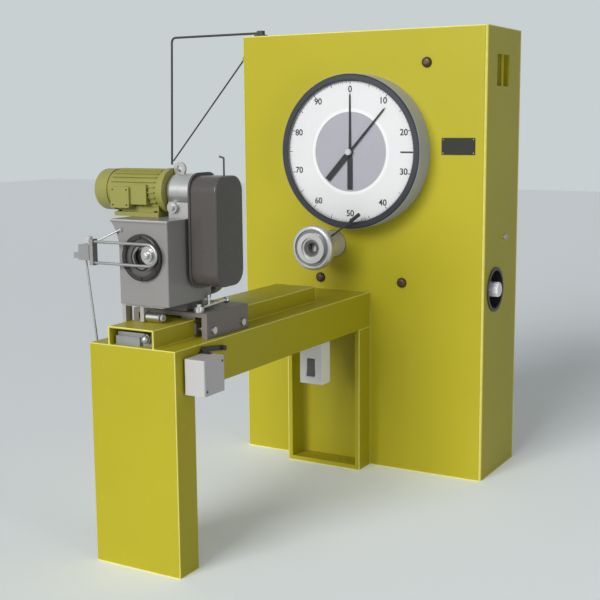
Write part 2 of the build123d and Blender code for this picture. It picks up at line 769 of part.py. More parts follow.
# Bracket on the bed's side: a slanted strip with two screws and a tongue that holds the switch box
box_left = half_bed + bracket_strip
box_front = bed_end + box_reach
box_low = bed_top - bed_depth + 1.0
box_top = box_low + box_height
screw_y = box_front + bracket_back
strip_turn = math.degrees(math.atan2(-bracket_fall, bracket_span))
with BuildPart() as switch_bracket:
    with BuildSketch(facing_right(half_bed, screw_y + bracket_span / 2,
                                  box_top + bracket_rise - bracket_fall / 2)):
        SlotCenterToCenter(math.hypot(bracket_span, bracket_fall), bracket_width, rotation=strip_turn)
    extrude(amount=bracket_strip)
    slab((half_bed, half_bed + 34), (screw_y - 16, box_front + box_length - 6), (box_top, box_top + 3))
    slab((half_bed + 12, half_bed + 26), (screw_y - 14, screw_y - 2), (box_top, box_top + 12))
    for y, z in ((screw_y, box_top + bracket_rise),
                 (screw_y + bracket_span, box_top + bracket_rise - bracket_fall)):
        disc(facing_right(half_bed + bracket_strip, y, z), bracket_width / 2, 7)
switch_bracket.part.label = "switch_bracket"

with BuildPart() as bed_switch_box:
    slab((box_left, box_left + box_width), (box_front, box_front + box_length),
         (box_low, box_low + box_height))
    fillet(bed_switch_box.edges().filter_by(Axis.Z), radius=box_round)
    fillet(bed_switch_box.edges().filter_by(Axis.X).group_by(Axis.Z)[-1], radius=3)
bed_switch_box.part.label = "bed_switch_box"

# Switch box under the bed, hung from the bed's inside, with a rocker in its front
low_box_front = front - low_box_reach
low_box_low = pedestal_top - low_box_height - low_box_drop
low_box_top = low_box_low + low_box_height
rocker_x = low_box_left + low_box_width / 2
rocker_z = low_box_low + rocker_lift
rocker_pin = 5.0
half_rocker = rocker_height / 2
with BuildPart() as low_switch_box:
    slab((low_box_left, low_box_left + low_box_width), (low_box_front, low_box_front + low_box_depth),
         (low_box_low, low_box_top))
    fillet(low_switch_box.edges().filter_by(Axis.Z), radius=box_round)
    slab((low_box_left + low_box_neck, low_box_left + low_box_width - low_box_neck),
         (low_box_front + low_box_neck, low_box_front + low_box_depth - low_box_neck),
         (low_box_top, bed_top - bed_wall))
    slab((rocker_x - rocker_width / 2 - 1, rocker_x + rocker_width / 2 + 1),
         (low_box_front - 1, low_box_front + rocker_well),
         (rocker_z - half_rocker - 3, rocker_z + half_rocker + 3), Mode.SUBTRACT)
    disc(facing_right(rocker_x - 20, low_box_front + rocker_pin, rocker_z), 2.5 + running, 40, Mode.SUBTRACT)
low_switch_box.part.label = "low_switch_box"

with BuildPart() as rocker:
    with BuildSketch(facing_right(rocker_x - rocker_width / 2)):
        with BuildLine():
            Polyline((low_box_front - 7, rocker_z - half_rocker),
                     (low_box_front + 6, rocker_z - half_rocker + 2),
                     (low_box_front + 10, rocker_z), (low_box_front + 6, rocker_z + half_rocker - 2),
                     (low_box_front - 1, rocker_z + half_rocker))
            ThreePointArc((low_box_front - 1, rocker_z + half_rocker), (low_box_front - 1, rocker_z),
                          (low_box_front - 7, rocker_z - half_rocker))
        make_face()
    extrude(amount=rocker_width)
    disc(facing_right(rocker_x - 19, low_box_front + rocker_pin, rocker_z), 2.5, 38)
rocker.part.label = "rocker"

# Overhead arm: one bent pipe on a foot that is bolted to the cabinet's top
arm_y = front + arm_setback
arm_x = -cabinet_left - arm_overhang
arm_z = cabinet_height + arm_lift
drop_end = arm_z - arm_drop
foot_left = -cabinet_left + arm_inset
foot_right = foot_left + arm_foot
foot_plate = 6.0
block_inset = 8.0
leg_turn = math.atan2(arm_lean, arm_drop)
elbow_turn = math.pi / 2 - leg_turn
tangent = arm_bend * math.tan(elbow_turn / 2)
elbow_end = (arm_x - tangent * math.sin(leg_turn), arm_y, arm_z - tangent * math.cos(leg_turn))
with BuildPart() as overhead_arm:
    rod((foot_left + block_inset + 6, arm_y, arm_z), (arm_x + tangent, arm_y, arm_z), arm_rod)
    elbow(facing_right(arm_x + tangent, arm_y, arm_z), (arm_x + tangent, arm_y, arm_z - arm_bend),
          -math.degrees(elbow_turn), arm_rod)
    rod(elbow_end, (arm_x - arm_lean, arm_y, drop_end), arm_rod)
    slab((foot_left, foot_right), (arm_y - 13, arm_y + 13), (cabinet_height, cabinet_height + foot_plate))
    slab((foot_left + block_inset, foot_right - block_inset), (arm_y - 8, arm_y + 8),
         (cabinet_height, arm_z + arm_rod + 4))
overhead_arm.part.label = "overhead_arm"

# Stay from the cabinet's side down to the arm's lower end
stay_top = cabinet_height - stay_drop
stay_foot = 11.0
stay_pad = 5.0
with BuildPart() as overhead_stay:
    rod((-cabinet_left - stay_pad + 1, arm_y, stay_top), (arm_x - arm_lean + arm_rod + 3.4, arm_y,
                                                          drop_end + 14),
        stay_rod)
    disc(facing_right(-cabinet_left, arm_y, stay_top), stay_foot, -stay_pad)
overhead_stay.part.label = "overhead_stay"

# Saddle: a bridge over the rail with two cheeks that slide on the bed
half_saddle = saddle_width / 2
with BuildPart() as saddle:
    slab((-half_saddle, half_saddle), (saddle_front, saddle_back), (bed_top + slide_gap, saddle_top))
    fillet(saddle.edges().filter_by(Axis.Y).group_by(Axis.Z)[-1], radius=5)
    slab((-half_saddle + saddle_cheek, half_saddle - saddle_cheek), (saddle_front - 1, saddle_back + 1),
         (bed_top - 1, plate_base), Mode.SUBTRACT)
    for side in (-1, 1):
        low, high = sorted((side * (half_rail - 45), side * half_rail))
        slab((low, high), (saddle_front + 14, saddle_back - 14), (rail_top + slide_gap, plate_base))
    for y in (saddle_front + 28, saddle_back - 33):
        disc(facing_right(-half_saddle - 1, y, bed_top + cheek_screw), screw_radius, saddle_width + 2,
             Mode.SUBTRACT)
saddle.part.label = "saddle"

# Gib strips on both sides of the rail, and the screws that press them
with BuildPart() as gib_strips:
    for side in (-1, 1):
        low, high = sorted((side * (half_rail + slide_gap), side * (half_rail + strip_thickness)))
        slab((low, high), (saddle_front + strip_inset, saddle_back - strip_inset),
             (bed_top + strip_low, bed_top + strip_high))
gib_strips.part.label = "gib_strips"

with BuildPart() as gib_screws:
    for side in (-1, 1):
        for y in (saddle_front + 28, saddle_back - 33):
            base = facing_right(side * (half_rail + strip_thickness), y, bed_top + cheek_screw)
            disc(base, screw_radius, side * (half_saddle + screw_head - half_rail - strip_thickness))
            disc(facing_right(side * half_saddle, y, bed_top + cheek_screw), head_radius, side * screw_head)
            disc(facing_right(side * (half_saddle - saddle_cheek), y, bed_top + cheek_screw),
                 head_radius + 2,
                 -side * lock_nut)
gib_screws.part.label = "gib_screws"

# Hanger under the gearbox's front overhang: outer leg, middle leg and the roller's axle
hanger_inset = 77.0
hanger_y = saddle_front - hanger_inset
hanger_bar = 8.0
hanger_leg = 12.0
hanger_gap = 4.0
roller_z = rail_top + slide_gap + roller_radius
roller_left = -14.0
axle_radius = 6.0
with BuildPart() as front_hanger:
    slab((-half_rail - hanger_gap - hanger_leg, half_box - 30), (hanger_y - 16, hanger_y + 16),
         (gearbox_base - hanger_bar, gearbox_base))
    slab((-half_rail - hanger_gap - hanger_leg, -half_rail - hanger_gap), (hanger_y - 14, hanger_y + 14),
         (bed_top + 30, gearbox_base))
    slab((roller_left - 4 - hanger_leg, roller_left - 4), (hanger_y - 14, hanger_y + 14),
         (roller_z - 12, gearbox_base))
    disc(facing_right(roller_left - 5, hanger_y, roller_z), axle_radius, roller_width + 14)
    disc(facing_right(roller_left + roller_width + 2, hanger_y, roller_z), axle_radius + 3, 7)
front_hanger.part.label = "front_hanger"

with BuildPart() as front_roller:
    ring(facing_right(roller_left, hanger_y, roller_z), roller_radius, axle_radius + running, roller_width)
    chamfer(front_roller.edges().filter_by(GeomType.CIRCLE), length=1.5)
front_roller.part.label = "front_roller"

# Clamp lever: an eye on the saddle's corner, a bar with a ball end and an upright finger grip
eye_x = half_saddle - clamp_inset
eye_y = saddle_front + clamp_hub + 1
bar_end = eye_y + clamp_length
with BuildPart() as clamp_lever:
    disc(Plane.XY.offset(saddle_top + slide_gap).moved(Location((eye_x, eye_y, 0))), clamp_hub, clamp_hub)
    with Locations((eye_x, eye_y, saddle_top + slide_gap + clamp_hub)):
        Cylinder(clamp_hub / 2, 7, align=(Align.CENTER, Align.CENTER, Align.MIN))
    rod((eye_x, eye_y, saddle_top + 9), (eye_x - 2, bar_end, saddle_top + 14), clamp_bar)
    with Locations((eye_x - 2, bar_end, saddle_top + 14)):
        Sphere(2 * clamp_bar)
    rod((eye_x, eye_y + clamp_finger, saddle_top + 10), (eye_x, eye_y + clamp_finger, saddle_top + 42),
        clamp_bar - 0.5)
clamp_lever.part.label = "clamp_lever"

# Gearbox casting: a closed box on a narrow foot, flared at its left shoulder to carry the motor
flare = 32.0
lid_sheet = 6.0
lid_lip = 3.0
flare_height = 66.0
spindle_seat = 24.0
input_seat = 14.0
counter_seat = 12.0
with BuildPart() as gearbox:
    slab((-half_box, half_box), (gearbox_front, gearbox_back), (gearbox_base, gearbox_top))
    with BuildSketch(facing_front(gearbox_back)):
        with BuildLine():
            curve = RadiusArc((-half_box, gearbox_top - flare_height), (-half_box - flare, gearbox_top),
                              -110)
            Polyline(curve @ 1, (-half_box + 1, gearbox_top), (-half_box + 1, gearbox_top - flare_height),
                     curve @ 0)
        make_face()
    extrude(amount=gearbox_depth)
    fillet(gearbox.edges().filter_by(Axis.Z).group_by(Axis.X)[-1], radius=5)
    slab((-half_box - flare, half_box + lid_lip), (gearbox_front - lid_lip, gearbox_back + lid_lip),
         (gearbox_top - lid_sheet, gearbox_top))
    slab((-half_box + foot_inset, half_box - 2 * foot_inset), (saddle_front + 12, gearbox_back),
         (saddle_top, gearbox_base))
    disc(facing_front(gearbox_back + 8, 0, axis_z), 40, 9)
    disc(facing_right(half_box, drive_y, input_z), 2 * input_seat, guard_side - plate_sheet - half_box)
    disc(facing_front(gearbox_front + 60, counter_x, counter_z), counter_seat + running, 70, Mode.SUBTRACT)
    disc(facing_front(gearbox_back + 9, 0, axis_z), spindle_seat + running, 80, Mode.SUBTRACT)
    disc(facing_right(half_box - 50, drive_y, input_z), input_seat + running, 80, Mode.SUBTRACT)
gearbox.part.label = "gearbox"

# Round flange on the gearbox's front: a dished ring with steps and six bolts
with BuildPart() as gearbox_flange:
    disc(facing_front(gearbox_front, 0, counter_z - 10), flange_radius, flange_width)
    fillet(gearbox_flange.edges().group_by(Axis.Y)[0], radius=5)
    disc(facing_front(gearbox_front - 7, 0, counter_z - 10), flange_radius - 13, flange_width, Mode.SUBTRACT)
    ring(facing_front(gearbox_front - 5, counter_x / 2, counter_z - 5), 38, 31, 9)
    disc(facing_front(gearbox_front + 1, counter_x, counter_z), counter_seat + running, 30, Mode.SUBTRACT)
gearbox_flange.part.label = "gearbox_flange"

# Driving spindle with its chuck, facing the measuring chuck
spindle_front = gearbox_back - 70.0
chuck_seat = gearbox_back + 14.0
with BuildPart() as driving_spindle:
    disc(facing_front(chuck_seat + 12, 0, axis_z), spindle_seat, chuck_seat + 12 - spindle_front)
driving_spindle.part.label = "driving_spindle"

driving_chuck_face = chuck_seat + driving_chuck_length - 14.0
with BuildPart() as driving_chuck:
    chuck_ring(driving_chuck_face, -1, driving_chuck_radius)
    disc(facing_front(driving_chuck_face - chuck_width + 1, 0, axis_z), hub_radius,
         driving_chuck_face - chuck_width + 1 - chuck_seat)
    disc(facing_front(chuck_seat + 12, 0, axis_z), spindle_seat, 14, Mode.SUBTRACT)
    with BuildSketch(facing_front(driving_chuck_face, 0, axis_z)):
        RegularPolygon(grip_flats / 2 + grip_wall, 8, major_radius=False)
    extrude(amount=grip_depth, mode=Mode.SUBTRACT)
driving_chuck.part.label = "driving_chuck"

with BuildPart() as driving_grip:
    grip_block(facing_front(driving_chuck_face - grip_depth, 0, axis_z), grip_depth - 3)
    chamfer(driving_grip.edges().filter_by(GeomType.CIRCLE).group_by(Axis.Y)[-1], length=4)
driving_grip.part.label = "driving_grip"

# Belt drive: pulleys in line, the belt round both and the guard over them
belt_x = guard_side + 34.0
pulley_width = belt_width + 10.0


def pulley(radius, y, z):
    """A grooved pulley whose groove has the belt's inner radius."""
    disc(facing_right(belt_x - pulley_width / 2, y, z), radius + belt_thickness - 1, pulley_width)
    ring(facing_right(belt_x - belt_width / 2 - 0.5, y, z), radius + belt_thickness, radius, belt_width + 1,
         Mode.SUBTRACT)


with BuildPart() as input_pulley:
    disc(facing_right(half_box - 48, drive_y, input_z), input_seat, belt_x - half_box + 60)
    pulley(input_pulley_radius, drive_y, input_z)
input_pulley.part.label = "input_pulley"

with BuildPart() as motor_rotor:
    disc(facing_right(-motor_left, drive_y, motor_z), rotor_radius, belt_x + motor_left + 14)
    pulley(motor_pulley, drive_y, motor_z)
motor_rotor.part.label = "motor_rotor"


def belt_outline(extra):
    """Outline round both pulleys, as a sketch that is added to the open one."""
    with BuildSketch(facing_right(belt_x - belt_width / 2, drive_y, 0), mode=Mode.PRIVATE) as loop:
        with Locations((0, input_z)):
            Circle(input_pulley_radius + extra)
        with Locations((0, motor_z)):
            Circle(motor_pulley + extra)
        make_hull()
    return loop.sketch


with BuildPart() as drive_belt:
    extrude(belt_outline(belt_thickness), amount=belt_width)
    extrude(belt_outline(0.4), amount=belt_width, mode=Mode.SUBTRACT)
drive_belt.part.label = "drive_belt"

guard_low = input_z - guard_under
guard_high = motor_z + guard_over
guard_middle = (guard_low + guard_high) / 2
guard_tall = guard_high - guard_low
hook_x = guard_side + 0.67 * guard_width
hook_y = drive_y + 15.0
with BuildPart() as belt_guard:
    with BuildSketch(facing_right(guard_side, drive_y, guard_middle)):
        RectangleRounded(guard_depth, guard_tall, guard_corner)
    extrude(amount=guard_width)
    fillet(belt_guard.faces().sort_by(Axis.X)[-1].edges(), radius=guard_edge)
    offset(amount=-guard_sheet, openings=belt_guard.faces().sort_by(Axis.X)[0])
    rod((hook_x, hook_y, guard_high - guard_sheet / 2), (hook_x, hook_y, guard_high + hook_rise), hook_rod)
    rod((hook_x, hook_y, guard_high + hook_rise), (hook_x - hook_turn, hook_y, guard_high + hook_rise + 4),
        hook_rod)
belt_guard.part.label = "belt_guard"

with BuildPart() as guard_plate:
    with BuildSketch(facing_right(guard_side - plate_sheet, drive_y, guard_middle)):
        RectangleRounded(guard_depth + guard_margin, guard_tall + 2 * guard_margin,
                         guard_corner + guard_margin / 2)
        with Locations((0, input_z - guard_middle)):
            Circle(input_seat + 4, mode=Mode.SUBTRACT)
        with Locations((0, motor_z - guard_middle)):
            Circle(rotor_radius + 5, mode=Mode.SUBTRACT)
    extrude(amount=plate_sheet)
guard_plate.part.label = "guard_plate"

# Motor: ribbed body on feet, rounded cowl, flange and the round adapter to the guard
flange_x = -14.0
with BuildPart() as motor_body:
    disc(facing_right(-motor_left, drive_y, motor_z), motor_radius, motor_left + flange_x)
    with BuildSketch(facing_right(-motor_left + rib_inset, drive_y, motor_z)) as ribs:
        with PolarLocations(motor_radius + 1, rib_count, -60, 300):
            Rectangle(2 * rib_rise, rib_sheet)
    extrude(ribs.sketch, amount=motor_left + flange_x - 2 * rib_inset)
    disc(facing_right(flange_x, drive_y, motor_z), motor_radius + 7, flange_sheet)
    slab((-motor_left + 20, flange_x - 4), (drive_y - foot_half, drive_y + foot_half),
         (gearbox_top, gearbox_top + motor_foot))
    slab((-motor_left + 30, flange_x - 10), (drive_y - 0.8 * foot_half, drive_y + 0.8 * foot_half),
         (gearbox_top, motor_z - motor_radius / 2))
    disc(facing_right(-motor_left - 1, drive_y, motor_z), rotor_radius + running, motor_left + 60,
         Mode.SUBTRACT)
motor_body.part.label = "motor_body"

with BuildPart() as motor_cowl:
    disc(facing_right(-motor_left, drive_y, motor_z), motor_radius + 3, -cowl_length)
    fillet(motor_cowl.edges().group_by(Axis.X)[0], radius=cowl_round)
    offset(amount=-cowl_sheet, openings=motor_cowl.faces().sort_by(Axis.X)[-1])
    with BuildSketch(facing_right(-motor_left - cowl_length, drive_y, motor_z)) as grille:
        for slot in range(grille_slots):
            middle = slot_first + slot * slot_pitch
            for turn in range(0, 360, 90):
                SlotArc(CenterArc((0, 0), middle, turn + 14, 62), slot_width)
    extrude(grille.sketch, amount=cowl_sheet + 1, mode=Mode.SUBTRACT)
motor_cowl.part.label = "motor_cowl"

with BuildPart() as motor_adapter:
    disc(facing_right(flange_x + flange_sheet, drive_y, motor_z), adapter_radius,
         guard_side - plate_sheet - flange_x - flange_sheet)
    fillet(motor_adapter.edges().filter_by(GeomType.CIRCLE).sort_by(Axis.X)[0], radius=adapter_round)
    slab((flange_x + flange_sheet + 6, guard_side - plate_sheet),
         (drive_y - 0.8 * adapter_radius, drive_y + 0.8 * adapter_radius),
         (gearbox_top, motor_z - 20))
    disc(facing_front(drive_y - 30, boss_x, motor_z - boss_drop), boss_radius, 18)
    disc(facing_front(drive_y - 48, boss_x, motor_z - boss_drop), boss_radius / 2, 6)
    ring(facing_front(drive_y + 4, boss_x - 4, motor_z + adapter_radius + 12), eye_radius, eye_hole, 8)
    disc(facing_right(flange_x, drive_y, motor_z), rotor_radius + 4, guard_side + 100, Mode.SUBTRACT)
motor_adapter.part.label = "motor_adapter"

with BuildPart() as terminal_box:
    slab((-motor_left + 24, -motor_left + 88), (drive_y - motor_radius - 16, drive_y - motor_radius + 14),
         (motor_z - 46, motor_z + 12))
    fillet(terminal_box.edges().filter_by(Axis.Y), radius=5)
    slab((-motor_left + 80, -motor_left + 142), (drive_y - motor_radius - 9, drive_y - motor_radius + 14),
         (motor_z - 36, motor_z + 18))
    disc(facing_right(-motor_left - 2, drive_y, motor_z), motor_radius + rib_rise + 1.2, 160, Mode.SUBTRACT)
terminal_box.part.label = "terminal_box"

# Revolution counter: shaft end, bent yoke round it, counter block, knob and light stays
yoke_y = gearbox_front - yoke_reach
strut_z = counter_z + strut_rise
with BuildPart() as counter_shaft:
    disc(facing_front(gearbox_front + 50, counter_x, counter_z), counter_seat, 50 + 16)
    disc(facing_front(gearbox_front - 16, counter_x, counter_z), 25, 5)
    disc(facing_front(gearbox_front - 21, counter_x, counter_z), 17, 9)
    disc(facing_front(gearbox_front - 30, counter_x, counter_z), 9, 10)
    fillet(counter_shaft.edges().group_by(Axis.Y)[0], radius=3)
counter_shaft.part.label = "counter_shaft"

with BuildPart() as counter_rods:
    for side in (-1, 1):
        rod((-counter_left + 6, yoke_y, counter_z + side * yoke_radius),
            (counter_x, yoke_y, counter_z + side * yoke_radius), yoke_rod)
    elbow(facing_right(counter_x, yoke_y, counter_z + yoke_radius), (counter_x, yoke_y, counter_z),
          180, yoke_rod)
    rod((-counter_left - 30, yoke_y + 6, counter_z - block_half - 0.5),
        (-half_bed - 9, yoke_y + 6, bed_top - 4), torque_rod)
    rod((-counter_left + 12, yoke_y, counter_z + yoke_radius), (-half_box + 8, gearbox_front - 3, strut_z),
        strut_rod)
    disc(facing_front(gearbox_front, -half_box + 8, strut_z), 2 * torque_rod, yoke_rod)
counter_rods.part.label = "counter_rods"

with BuildPart() as counter_body:
    slab((-counter_left - 6, -counter_left + 6), (yoke_y - 8, yoke_y + 12),
         (counter_z - yoke_radius - 7, counter_z + yoke_radius + 7))
    slab((-counter_left - 42, -counter_left - 6), (yoke_y - 10, yoke_y + 26),
         (counter_z - block_half, counter_z + block_half - 2))
    slab((-counter_left - 66, -counter_left - 42), (yoke_y - 2, yoke_y + 12),
         (counter_z - block_half + 2, counter_z - 4))
counter_body.part.label = "counter_body"

with BuildPart() as counter_knob:
    disc(Plane(origin=(-counter_left - 18, yoke_y + 8, counter_z + 20.2)), 4, 10)
    disc(Plane(origin=(-counter_left - 18, yoke_y + 8, counter_z + 28)), 9, 14)
    fillet(counter_knob.edges().group_by(Axis.Z)[-1], radius=4)
counter_knob.part.label = "counter_knob"

pieces = [
    cabinet_shell, cabinet_floor, rear_cover, bearing_beam, shaft_bearings, pointer_bridge, front_bolts,
    nameplate, side_port, range_knob, side_grip, panel_lock, dial_housing, dial_face, dial_glass,
    load_pointer, pointer_arbor, max_pointer, reset_knob, measuring_shaft, measuring_chuck, measuring_grip,
    hand_lever, sector_gear, pendulum_arm, pendulum_weight, bed_frame, bed_rail, pedestal, rail_tie_rod,
    switch_bracket, bed_switch_box, low_switch_box, rocker, overhead_arm, overhead_stay, saddle, gib_strips,
    gib_screws, front_hanger, front_roller, clamp_lever, gearbox, gearbox_flange, driving_spindle,
    driving_chuck, driving_grip, input_pulley, drive_belt, belt_guard, guard_plate, motor_body, motor_cowl,
    motor_adapter, motor_rotor, terminal_box, counter_shaft, counter_rods, counter_body, counter_knob,
]
os.makedirs("parts", exist_ok=True)
for piece in pieces:
    export_step(piece.part, "parts/" + piece.part.label + ".step")
print(len(pieces), "pieces written")
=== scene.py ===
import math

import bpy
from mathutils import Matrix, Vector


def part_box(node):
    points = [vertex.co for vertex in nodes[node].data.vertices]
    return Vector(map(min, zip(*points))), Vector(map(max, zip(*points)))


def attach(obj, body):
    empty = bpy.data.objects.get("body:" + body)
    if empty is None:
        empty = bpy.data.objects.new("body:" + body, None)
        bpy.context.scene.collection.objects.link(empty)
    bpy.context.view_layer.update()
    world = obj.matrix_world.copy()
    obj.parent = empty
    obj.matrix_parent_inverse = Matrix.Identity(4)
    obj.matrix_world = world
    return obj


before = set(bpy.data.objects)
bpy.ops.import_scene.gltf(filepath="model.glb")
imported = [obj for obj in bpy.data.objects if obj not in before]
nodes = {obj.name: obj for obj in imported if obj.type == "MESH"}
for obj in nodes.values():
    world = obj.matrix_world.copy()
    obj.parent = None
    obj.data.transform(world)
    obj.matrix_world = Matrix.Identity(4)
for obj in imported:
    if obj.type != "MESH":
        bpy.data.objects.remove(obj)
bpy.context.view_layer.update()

# %% [markdown]
# # A torsion testing machine
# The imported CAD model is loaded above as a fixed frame: every node is already in place, in metres,
# with the origin on the floor under the torsion axis and the dial facing -Y. This lesson gives the
# nodes their finishes, adds the small pieces that belong to looks, and sets light and camera.

# %% [markdown]
# ## Shader maths as Python
# A finish is a small tree of nodes. Writing each Math node by hand hides the idea, so one class wraps
# a socket and overloads the operators: `radius < 0.1` then adds its node by itself and hands back a
# new socket. Everything else comes from one method of the tree, which sets a node's options first and
# then its sockets, and links a socket wherever a value is one.

# %% A socket that can be calculated with
class Wire:
    def __init__(self, tree, socket):
        self.tree = tree
        self.socket = socket

    def maths(self, operation, *others):
        values = {i: value for i, value in enumerate((self, *others))}
        return self.tree.node("ShaderNodeMath", {"operation": operation}, values)

    def __add__(self, other):
        return self.maths("ADD", other)

    def __sub__(self, other):
        return self.maths("SUBTRACT", other)

    def __mul__(self, other):
        return self.maths("MULTIPLY", other)

    def __truediv__(self, other):
        return self.maths("DIVIDE", other)

    def __lt__(self, other):
        return self.maths("LESS_THAN", other)

    def __gt__(self, other):
        return self.maths("GREATER_THAN", other)

    def __or__(self, other):
        return self.maths("MAXIMUM", other)

    __radd__ = __add__


# %% A tree of shader nodes
class Tree:
    def __init__(self, tree):
        self.tree = tree

    def node(self, kind, settings=None, values=None, output=0):
        made = self.tree.nodes.new(kind)
        for option, value in (settings or {}).items():
            setattr(made, option, value)
        for key, value in (values or {}).items():
            if isinstance(value, Wire):
                self.tree.links.new(value.socket, made.inputs[key])
            else:
                made.inputs[key].default_value = value
        return Wire(self, made.outputs[output])

    def outputs(self, kind, values=None):
        made = self.node(kind, {}, values).socket.node
        return {socket.name: Wire(self, socket) for socket in made.outputs}


# %% A finish: the tree of one material
class Finish(Tree):
    def __init__(self, name, roughness=0.5, metallic=0.0, coat=0.0, specular=0.5):
        self.material = bpy.data.materials.new(name)
        self.material.use_nodes = True
        super().__init__(self.material.node_tree)
        self.shader = self.tree.nodes["Principled BSDF"]
        self.shader.inputs["Roughness"].default_value = roughness
        self.shader.inputs["Metallic"].default_value = metallic
        self.shader.inputs["Coat Weight"].default_value = coat
        self.shader.inputs["Specular IOR Level"].default_value = specular

    def place(self):
        return self.node("ShaderNodeTexCoord", output="Object")

    def coordinates(self):
        return list(self.outputs("ShaderNodeSeparateXYZ", {0: self.place()}).values())

    def noise(self, scale, detail=2.0, vector=None):
        values = {"Vector": vector or self.place(), "Scale": scale, "Detail": detail}
        return self.node("ShaderNodeTexNoise", {}, values)

    def mix(self, factor, first, second):
        values = {0: factor, 6: first, 7: second}
        return self.node("ShaderNodeMix", {"data_type": "RGBA"}, values, output=2)

    def give(self, socket, wire):
        self.tree.links.new(wire.socket, self.shader.inputs[socket])

    def colour(self, value):
        if isinstance(value, Wire):
            self.give("Base Color", value)
        else:
            self.shader.inputs["Base Color"].default_value = value

    def bump(self, height, distance, strength=1.0):
        values = {"Height": height, "Distance": distance, "Strength": strength}
        self.give("Normal", self.node("ShaderNodeBump", {}, values))


def tinted(colour, factor):
    return tuple(min(1.0, channel * factor) for channel in colour) + (1.0,)


# %% [markdown]
# ## Sheet metal paint
# The cabinet, the bed and the pedestal are folded steel with an olive yellow stove enamel. Up close,
# such enamel has orange peel and a slow drift of tone, and noise at two scales gives both. On the
# folds a lighter colour is a painted highlight, the sheen a rounded edge catches, where the paint is
# also rubbed thin, so a mask lightens what lies near two outer planes of a piece at once. Other
# numbers give the grey and green enamels, and a coarser peel gives a casting's skin.

# %% Where a box-shaped piece has its folds
def folds(paint, low, high, widths):
    near = []
    for i, place in enumerate(paint.coordinates()):
        near.append((place < low[i] + widths[i]) | (place > high[i] - widths[i]))
    x, y, z = near
    return x * y | y * z | x * z


# %% Enamel on sheet and castings
def enamel(name, colour, roughness, peel, coat=0.05, folded=None, widths=None,
           highlight_colour=(0.86, 0.80, 0.24, 1.0), drift=0.10):
    paint = Finish(name, roughness, coat=coat, specular=0.22)
    slow = paint.noise(2.3, 4.0)
    fine = paint.noise(38.0, 3.0)
    ground = paint.mix(slow, tinted(colour, 1 - drift), tinted(colour, 1 + drift))
    scuffs = (fine > 0.70) * 0.25
    ground = paint.mix(scuffs, ground, tinted(colour, 1 + 2.5 * drift))
    # A painted highlight on the folds: near two outer planes at once the colour turns lighter, as a
    # rounded edge catching the light, where the paint is also rubbed thin.
    if folded:
        highlighted = folds(paint, *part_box(folded), widths) * (0.45 + fine * 0.6)
        ground = paint.mix(highlighted, ground, highlight_colour)
    paint.colour(ground)
    paint.give("Roughness", roughness - 0.08 + fine * 0.16)
    peel_scale, peel_depth = peel
    paint.bump(paint.noise(peel_scale), peel_depth)
    return paint.material


# %% The yellow paint, with a painted highlight along the folds of four pieces
olive = (0.440, 0.386, 0.016)
olive_roughness = 0.44
sheet_peel = (320.0, 0.00022)
sheet_yellow = enamel("olive_yellow_enamel", olive, olive_roughness, sheet_peel)
fold_widths = {
    "cabinet_shell": (0.008, 0.008, 0.003),
    "bed_frame": (0.0026,) * 3,
    "bed_rail": (0.0026,) * 3,
    "pedestal": (0.003,) * 3,
}
folded_finishes = {}
for node, widths in fold_widths.items():
    folded_finishes[node] = enamel(node + "_enamel", olive, olive_roughness, sheet_peel,
                                   folded=node, widths=widths)
print("folds rubbed bright on", sorted(folded_finishes))

# %% The grey, black and green paints
smooth_peel = (260.0, 0.00022)
cast_peel = (150.0, 0.0005)
plate_black = enamel("plate_black", (0.026, 0.026, 0.020), 0.55, (260.0, 0.0002))
grey_enamel = enamel("grey_enamel", (0.080, 0.072, 0.066), 0.30, smooth_peel, coat=0.3)
cast_grey = enamel("grey_casting", (0.36, 0.35, 0.345), 0.46, cast_peel)
# The gearbox gets a painted highlight too: a lighter grey along its edges.
gearbox_grey = enamel("gearbox_grey", (0.27, 0.258, 0.252), 0.42, cast_peel, coat=0.2,
                      folded="gearbox", widths=(0.0062, 0.0062, 0.0025),
                      highlight_colour=(0.60, 0.58, 0.57, 1.0))
hanger_grey = enamel("light_grey_casting", (0.42, 0.41, 0.40), 0.50, cast_peel, coat=0.10)
saddle_grey = enamel("dark_grey_casting", (0.205, 0.185, 0.170), 0.50, cast_peel)
motor_green = enamel("motor_green_enamel", (0.31, 0.30, 0.075), 0.38, (210.0, 0.00035), coat=0.25)
greys = (grey_enamel, cast_grey, gearbox_grey, hanger_grey, saddle_grey)
print("greys:", [paint.name for paint in greys])

# %% [markdown]
# ## Bare and blackened steel
# Drawn and turned steel carries fine lines left by the tool. A noise that changes fast along one
# direction and slowly along the others gives the same short, streaked highlight. Blackened and browned
# steel keeps the streaks but loses most of its shine.

# %% Steel finishes
def steel(name, colour, roughness, streak=(40.0, 900.0, 40.0), metallic=1.0):
    metal = Finish(name, roughness, metallic)
    stretched = metal.node("ShaderNodeMapping", {}, {"Vector": metal.place(), "Scale": streak})
    lines = metal.noise(1.0, 3.0, stretched)
    cloud = metal.noise(14.0, 4.0)
    metal.colour(metal.mix(cloud, tinted(colour, 0.82), tinted(colour, 1.12)))
    metal.give("Roughness", roughness - 0.1 + lines * 0.16 + cloud * 0.06)
    metal.bump(lines, 0.00012, 0.7)
    return metal.material


bare = (0.60, 0.59, 0.57)
bright_steel = steel("turned_steel", bare, 0.30)
cross_steel = steel("turned_steel_crosswise", bare, 0.30, (900.0, 40.0, 40.0))
black_steel = steel("blackened_steel", (0.055, 0.052, 0.050), 0.42, metallic=0.6)
brown_steel = steel("browned_steel", (0.075, 0.048, 0.034), 0.38, metallic=0.55)
rod_steel = steel("drawn_rod", (0.40, 0.40, 0.39), 0.34, (60.0, 60.0, 60.0), metallic=0.8)
steels = (bright_steel, cross_steel, black_steel, brown_steel, rod_steel)
print("steels:", [metal.name for metal in steels])
